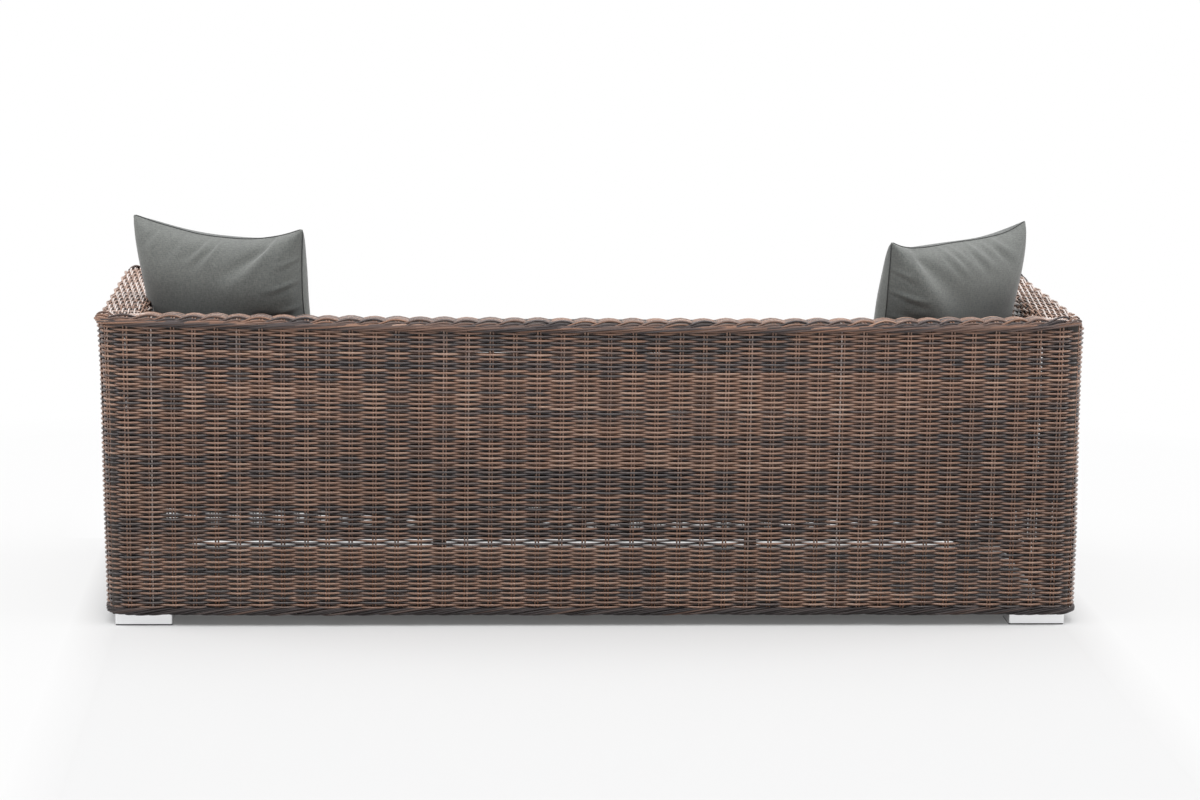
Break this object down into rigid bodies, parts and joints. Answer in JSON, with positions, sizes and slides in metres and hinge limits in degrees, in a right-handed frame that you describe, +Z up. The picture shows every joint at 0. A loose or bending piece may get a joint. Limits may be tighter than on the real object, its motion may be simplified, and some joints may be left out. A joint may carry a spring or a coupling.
{
  "type": "garden sofa",
  "caption": "Low box-shaped garden sofa in round-strand weave over a tube frame, with metal block feet, loose seat cushions and throw pillows.",
  "frame": {"origin": "centre of the footprint on the ground", "axes": "+Z up, X along the width, the open front faces -Y and the back is at +Y; +X is a sitter's left"},
  "size_m": [2.1, 0.8, 0.8514],
  "materials": {
    "frame_tube": "dark brown powder coat, hidden under the weave",
    "wicker": "round synthetic strands, mottled brown and grey-brown, satin",
    "foot_metal": "brushed",
    "glide": "matt black",
    "screw": "plain steel",
    "cushion_cloth": "plain woven outdoor cloth",
    "pillow_cloth": "plain woven outdoor cloth"
  },
  "bodies": {
    "sofa": {"rear_outer_post_left": "frame_tube", "rear_inner_post_left": "frame_tube", "front_outer_post_left": "frame_tube", "front_inner_post_left": "frame_tube", "arm_top_rail_outer_left": "frame_tube", "arm_top_rail_inner_left": "frame_tube", "arm_bottom_rail_left": "frame_tube", "arm_seat_rail_left": "frame_tube", "rear_outer_post_right": "frame_tube", "rear_inner_post_right": "frame_tube", "front_outer_post_right": "frame_tube", "front_inner_post_right": "frame_tube", "arm_top_rail_outer_right": "frame_tube", "arm_top_rail_inner_right": "frame_tube", "arm_bottom_rail_right": "frame_tube", "arm_seat_rail_right": "frame_tube", "back_top_rail_outer": "frame_tube", "back_top_rail_inner": "frame_tube", "back_seat_rail": "frame_tube", "front_seat_rail": "frame_tube", "back_bottom_rail": "frame_tube", "front_bottom_rail": "frame_tube", "seat_bearer_1": "frame_tube", "seat_bearer_2": "frame_tube", "seat_bearer_3": "frame_tube", "back_upright_1": "frame_tube", "back_upright_2": "frame_tube", "back_outer_weave": "wicker", "front_apron_weave": "wicker", "arm_outer_weave_left": "wicker", "arm_front_weave_left": "wicker", "arm_inner_weave_left": "wicker", "arm_outer_weave_right": "wicker", "arm_front_weave_right": "wicker", "arm_inner_weave_right": "wicker", "back_inner_weave": "wicker", "seat_deck_weave": "wicker", "back_top_weave": "wicker", "arm_top_weave_left": "wicker", "arm_top_weave_right": "wicker", "foot_rear_left": "foot_metal", "foot_glide_rear_left": "glide", "foot_screw_rear_left": "screw", "foot_front_left": "foot_metal", "foot_glide_front_left": "glide", "foot_screw_front_left": "screw", "foot_rear_right": "foot_metal", "foot_glide_rear_right": "glide", "foot_screw_rear_right": "screw", "foot_front_right": "foot_metal", "foot_glide_front_right": "glide", "foot_screw_front_right": "screw"},
    "seat_cushion_left": {"seat_cushion_left": "cushion_cloth"},
    "seat_cushion_middle": {"seat_cushion_middle": "cushion_cloth"},
    "seat_cushion_right": {"seat_cushion_right": "cushion_cloth"},
    "throw_pillow_left": {"throw_pillow_left": "pillow_cloth"},
    "throw_pillow_right": {"throw_pillow_right": "pillow_cloth"}
  },
  "joints": [
    {"name": "lift_seat_cushion_left", "type": "slide", "parent": "sofa", "child": "seat_cushion_left", "axis": [0, 0, 1], "range_m": [0, 0.45]},
    {"name": "lift_seat_cushion_middle", "type": "slide", "parent": "sofa", "child": "seat_cushion_middle", "axis": [0, 0, 1], "range_m": [0, 0.45]},
    {"name": "lift_seat_cushion_right", "type": "slide", "parent": "sofa", "child": "seat_cushion_right", "axis": [0, 0, 1], "range_m": [0, 0.45]},
    {"name": "lift_throw_pillow_left", "type": "slide", "parent": "seat_cushion_left", "child": "throw_pillow_left", "axis": [0, 0, 1], "range_m": [0, 0.4]},
    {"name": "lift_throw_pillow_right", "type": "slide", "parent": "seat_cushion_right", "child": "throw_pillow_right", "axis": [0, 0, 1], "range_m": [0, 0.4]}
  ]
}
